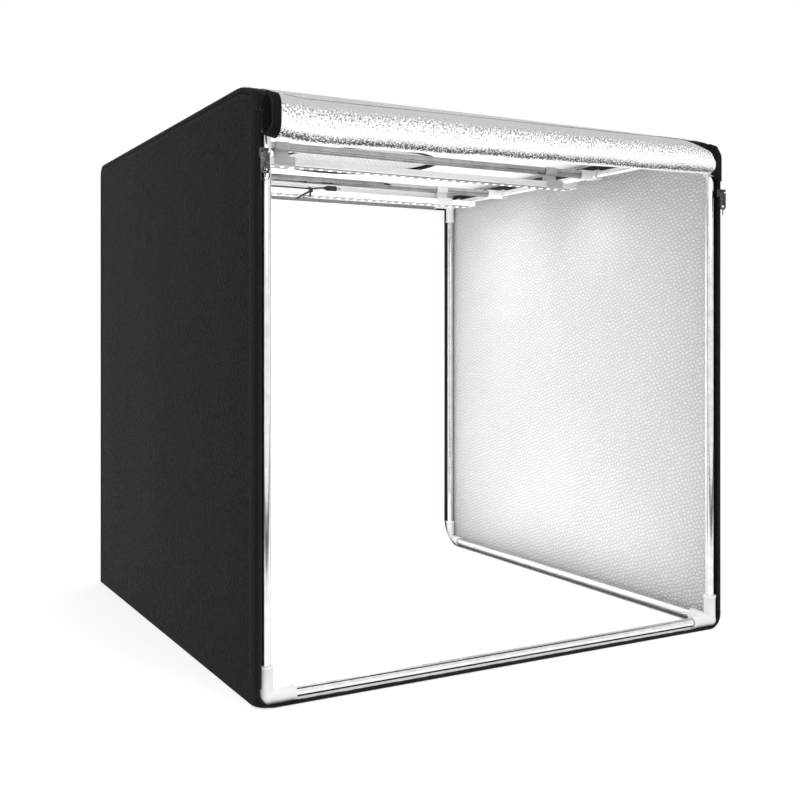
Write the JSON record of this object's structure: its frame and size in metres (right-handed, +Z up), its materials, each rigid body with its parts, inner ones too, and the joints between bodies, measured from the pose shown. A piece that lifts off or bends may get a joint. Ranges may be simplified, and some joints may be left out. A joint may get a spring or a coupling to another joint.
{
  "type": "light tent cube",
  "caption": "Folding photo light tent: sewn cube cover with silver lining, rolled-up zip door, tube frame, sliding tilting light bars and a white backdrop.",
  "frame": {"origin": "under the middle of the whole tent, on the surface it stands on", "axes": "+Z up, -Y out of the open front, +X to the right as seen from the front"},
  "size_m": [0.8, 0.8662, 0.8028],
  "materials": {
    "cover_leatherette": "black grained leatherette, satin",
    "silver_lining": "pebbled silver lining, soft sheen",
    "zip_tape": "black woven tape, matt",
    "zip_metal": "dark painted metal, satin",
    "chrome_tube": "bright plated tube",
    "white_plastic": "white moulded plastic, satin",
    "backdrop_sheet": "white sheet, matt",
    "channel_aluminium": "brushed",
    "light_strip": "light chips on a white strip",
    "lead_plastic": "black soft plastic"
  },
  "bodies": {
    "root": {"wall_left": "cover_leatherette", "wall_right": "cover_leatherette", "wall_rear": "cover_leatherette", "roof": "cover_leatherette", "floor": "cover_leatherette", "door_roll": "silver_lining", "zip_tape_left": "zip_tape", "zip_tape_right": "zip_tape", "zip_tape_bottom": "zip_tape", "door_header": "zip_tape", "backdrop_strip": "zip_tape", "backdrop": "backdrop_sheet", "corner_bottom_front_left": "white_plastic", "corner_bottom_front_right": "white_plastic", "corner_bottom_rear_left": "white_plastic", "corner_bottom_rear_right": "white_plastic", "corner_top_front_left": "white_plastic", "corner_top_front_right": "white_plastic", "corner_top_rear_left": "white_plastic", "corner_top_rear_right": "white_plastic", "rail_bottom_front": "chrome_tube", "rail_bottom_rear": "chrome_tube", "rail_bottom_left": "chrome_tube", "rail_bottom_right": "chrome_tube", "rail_top_front": "chrome_tube", "rail_top_rear": "chrome_tube", "rail_top_left": "chrome_tube", "rail_top_right": "chrome_tube", "upright_front_left": "chrome_tube", "upright_front_right": "chrome_tube", "upright_rear_left": "chrome_tube", "upright_rear_right": "chrome_tube"},
    "front_carriage": {"cross_tube_front": "chrome_tube", "rail_clamp_front_left": "white_plastic", "rail_clamp_front_right": "white_plastic"},
    "front_light": {"light_clip_front_left": "white_plastic", "light_clip_front_right": "white_plastic", "light_channel_front": "channel_aluminium", "light_strip_front": "light_strip", "light_cap_front_left": "white_plastic", "light_cap_front_right": "white_plastic"},
    "rear_carriage": {"cross_tube_rear": "chrome_tube", "rail_clamp_rear_left": "white_plastic", "rail_clamp_rear_right": "white_plastic"},
    "rear_light": {"light_clip_rear_left": "white_plastic", "light_clip_rear_right": "white_plastic", "light_channel_rear": "channel_aluminium", "light_strip_rear": "light_strip", "light_cap_rear_left": "white_plastic", "light_cap_rear_right": "white_plastic", "power_lead": "lead_plastic", "lead_plug": "lead_plastic", "cable_tie": "lead_plastic"},
    "left_slider": {"zip_slider_left": "zip_metal"},
    "left_tab": {"pull_tab_left": "zip_metal"},
    "left_ring": {"pull_ring_left": "zip_metal"},
    "right_slider": {"zip_slider_right": "zip_metal"},
    "right_tab": {"pull_tab_right": "zip_metal"},
    "right_ring": {"pull_ring_right": "zip_metal"},
    "window_flap": {"roof_window_flap": "cover_leatherette"}
  },
  "joints": [
    {"name": "front_bar_slide", "type": "slide", "parent": "root", "child": "front_carriage", "axis": [0, 1, 0], "range_m": [-0.2, 0.1]},
    {"name": "front_light_tilt", "type": "hinge", "parent": "front_carriage", "child": "front_light", "pos_m": [0, -0.08785, 0.7708], "axis": [1, 0, 0], "range_deg": [-60, 60]},
    {"name": "rear_bar_slide", "type": "slide", "parent": "root", "child": "rear_carriage", "axis": [0, 1, 0], "range_m": [-0.1, 0.08]},
    {"name": "rear_light_tilt", "type": "hinge", "parent": "rear_carriage", "child": "rear_light", "pos_m": [0, 0.21815, 0.7708], "axis": [1, 0, 0], "range_deg": [-60, 60]},
    {"name": "left_zip_slide", "type": "slide", "parent": "root", "child": "left_slider", "axis": [0, 0, 1], "range_m": [-0.62, 0]},
    {"name": "left_tab_swing", "type": "hinge", "parent": "left_slider", "child": "left_tab", "pos_m": [-0.394, -0.39945, 0.7065], "axis": [-1, 0, 0], "range_deg": [0, 85]},
    {"name": "left_ring_swing", "type": "hinge", "parent": "left_tab", "child": "left_ring", "pos_m": [-0.394, -0.39945, 0.6797], "axis": [0.7071, 0.7071, 0], "range_deg": [-15, 15]},
    {"name": "right_zip_slide", "type": "slide", "parent": "root", "child": "right_slider", "axis": [0, 0, 1], "range_m": [-0.62, 0]},
    {"name": "right_tab_swing", "type": "hinge", "parent": "right_slider", "child": "right_tab", "pos_m": [0.394, -0.39945, 0.7065], "axis": [-1, 0, 0], "range_deg": [0, 85]},
    {"name": "right_ring_swing", "type": "hinge", "parent": "right_tab", "child": "right_ring", "pos_m": [0.394, -0.39945, 0.6797], "axis": [-0.7071, 0.7071, 0], "range_deg": [-15, 15]},
    {"name": "window_flap_lift", "type": "hinge", "parent": "root", "child": "window_flap", "pos_m": [0, 0.27515, 0.8028], "axis": [-1, 0, 0], "range_deg": [0, 170]}
  ]
}
